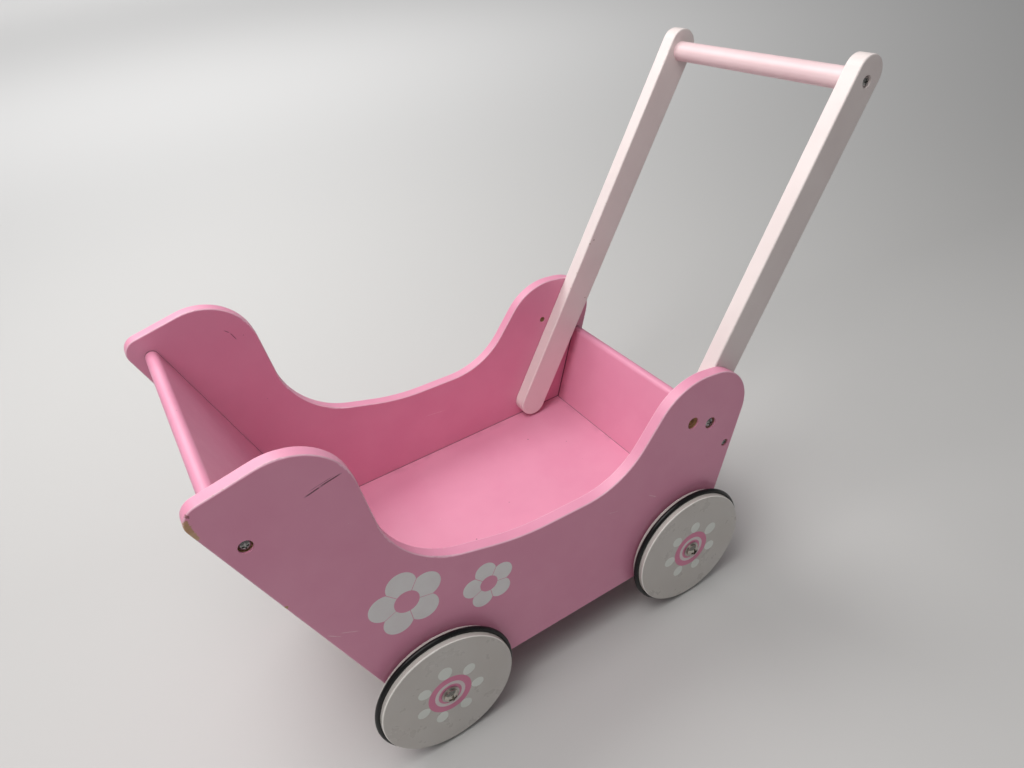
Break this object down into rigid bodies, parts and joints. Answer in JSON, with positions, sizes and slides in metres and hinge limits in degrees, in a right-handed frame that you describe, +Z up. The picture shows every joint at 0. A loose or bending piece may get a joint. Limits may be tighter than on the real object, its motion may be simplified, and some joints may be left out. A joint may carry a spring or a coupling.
{
  "type": "wooden doll pram",
  "caption": "Wooden doll pram with shaped side panels, a sloping front and rear board, two leaning handle arms with a round grip, and disc wheels with rubber tyres that turn freely.",
  "frame": {"origin": "on the ground, under the middle of the whole pram's length and width", "axes": "+X forwards, away from the person pushing; +Y to the pram's left, along the axles and the grip; +Z up"},
  "size_m": [0.6237, 0.3074, 0.4903],
  "materials": {
    "pink_paint": "satin pink paint on fibreboard",
    "white_paint": "semi-gloss off-white paint with a pink cast",
    "grip_paint": "semi-gloss pale pink paint on a round bar",
    "wheel_paint": "gloss white paint",
    "print_white": "thin pale grey-white print on the paint",
    "print_pink": "thin pink print on the paint",
    "bare_wood": "raw wood and fibreboard",
    "nickel": "bright nickel plate",
    "washer_steel": "plain zinc-plated steel",
    "tyre_rubber": "smooth matt black rubber"
  },
  "bodies": {
    "chassis": {"left_side_panel": "pink_paint", "right_side_panel": "pink_paint", "front_board": "pink_paint", "rear_board": "pink_paint", "floor_board": "pink_paint", "left_handle_arm": "white_paint", "right_handle_arm": "white_paint", "handle_grip": "grip_paint", "front_axle_beam": "bare_wood", "rear_axle_beam": "bare_wood", "front_board_screws": "nickel", "rear_board_screws": "nickel", "handle_pivot_bolts": "nickel", "handle_lock_bolts": "nickel", "handle_thread_inserts": "nickel", "grip_screws": "nickel", "floor_dowels": "bare_wood", "front_left_axle_screw": "nickel", "front_left_axle_washer": "washer_steel", "front_left_wheel_spacer": "washer_steel", "front_right_axle_screw": "nickel", "front_right_axle_washer": "washer_steel", "front_right_wheel_spacer": "washer_steel", "rear_left_axle_screw": "nickel", "rear_left_axle_washer": "washer_steel", "rear_left_wheel_spacer": "washer_steel", "rear_right_axle_screw": "nickel", "rear_right_axle_washer": "washer_steel", "rear_right_wheel_spacer": "washer_steel"},
    "front_left_wheel_set": {"front_left_wheel": "wheel_paint", "front_left_tyre": "tyre_rubber"},
    "front_right_wheel_set": {"front_right_wheel": "wheel_paint", "front_right_tyre": "tyre_rubber"},
    "rear_left_wheel_set": {"rear_left_wheel": "wheel_paint", "rear_left_tyre": "tyre_rubber"},
    "rear_right_wheel_set": {"rear_right_wheel": "wheel_paint", "rear_right_tyre": "tyre_rubber"}
  },
  "joints": [
    {"name": "front_left_wheel_spin", "type": "hinge", "parent": "chassis", "child": "front_left_wheel_set", "pos_m": [0.1826, 0, 0.0665], "axis": [0, 1, 0], "continuous": true},
    {"name": "front_right_wheel_spin", "type": "hinge", "parent": "chassis", "child": "front_right_wheel_set", "pos_m": [0.1826, 0, 0.0665], "axis": [0, 1, 0], "continuous": true},
    {"name": "rear_left_wheel_spin", "type": "hinge", "parent": "chassis", "child": "rear_left_wheel_set", "pos_m": [-0.0924, 0, 0.0665], "axis": [0, 1, 0], "continuous": true},
    {"name": "rear_right_wheel_spin", "type": "hinge", "parent": "chassis", "child": "rear_right_wheel_set", "pos_m": [-0.0924, 0, 0.0665], "axis": [0, 1, 0], "continuous": true}
  ]
}
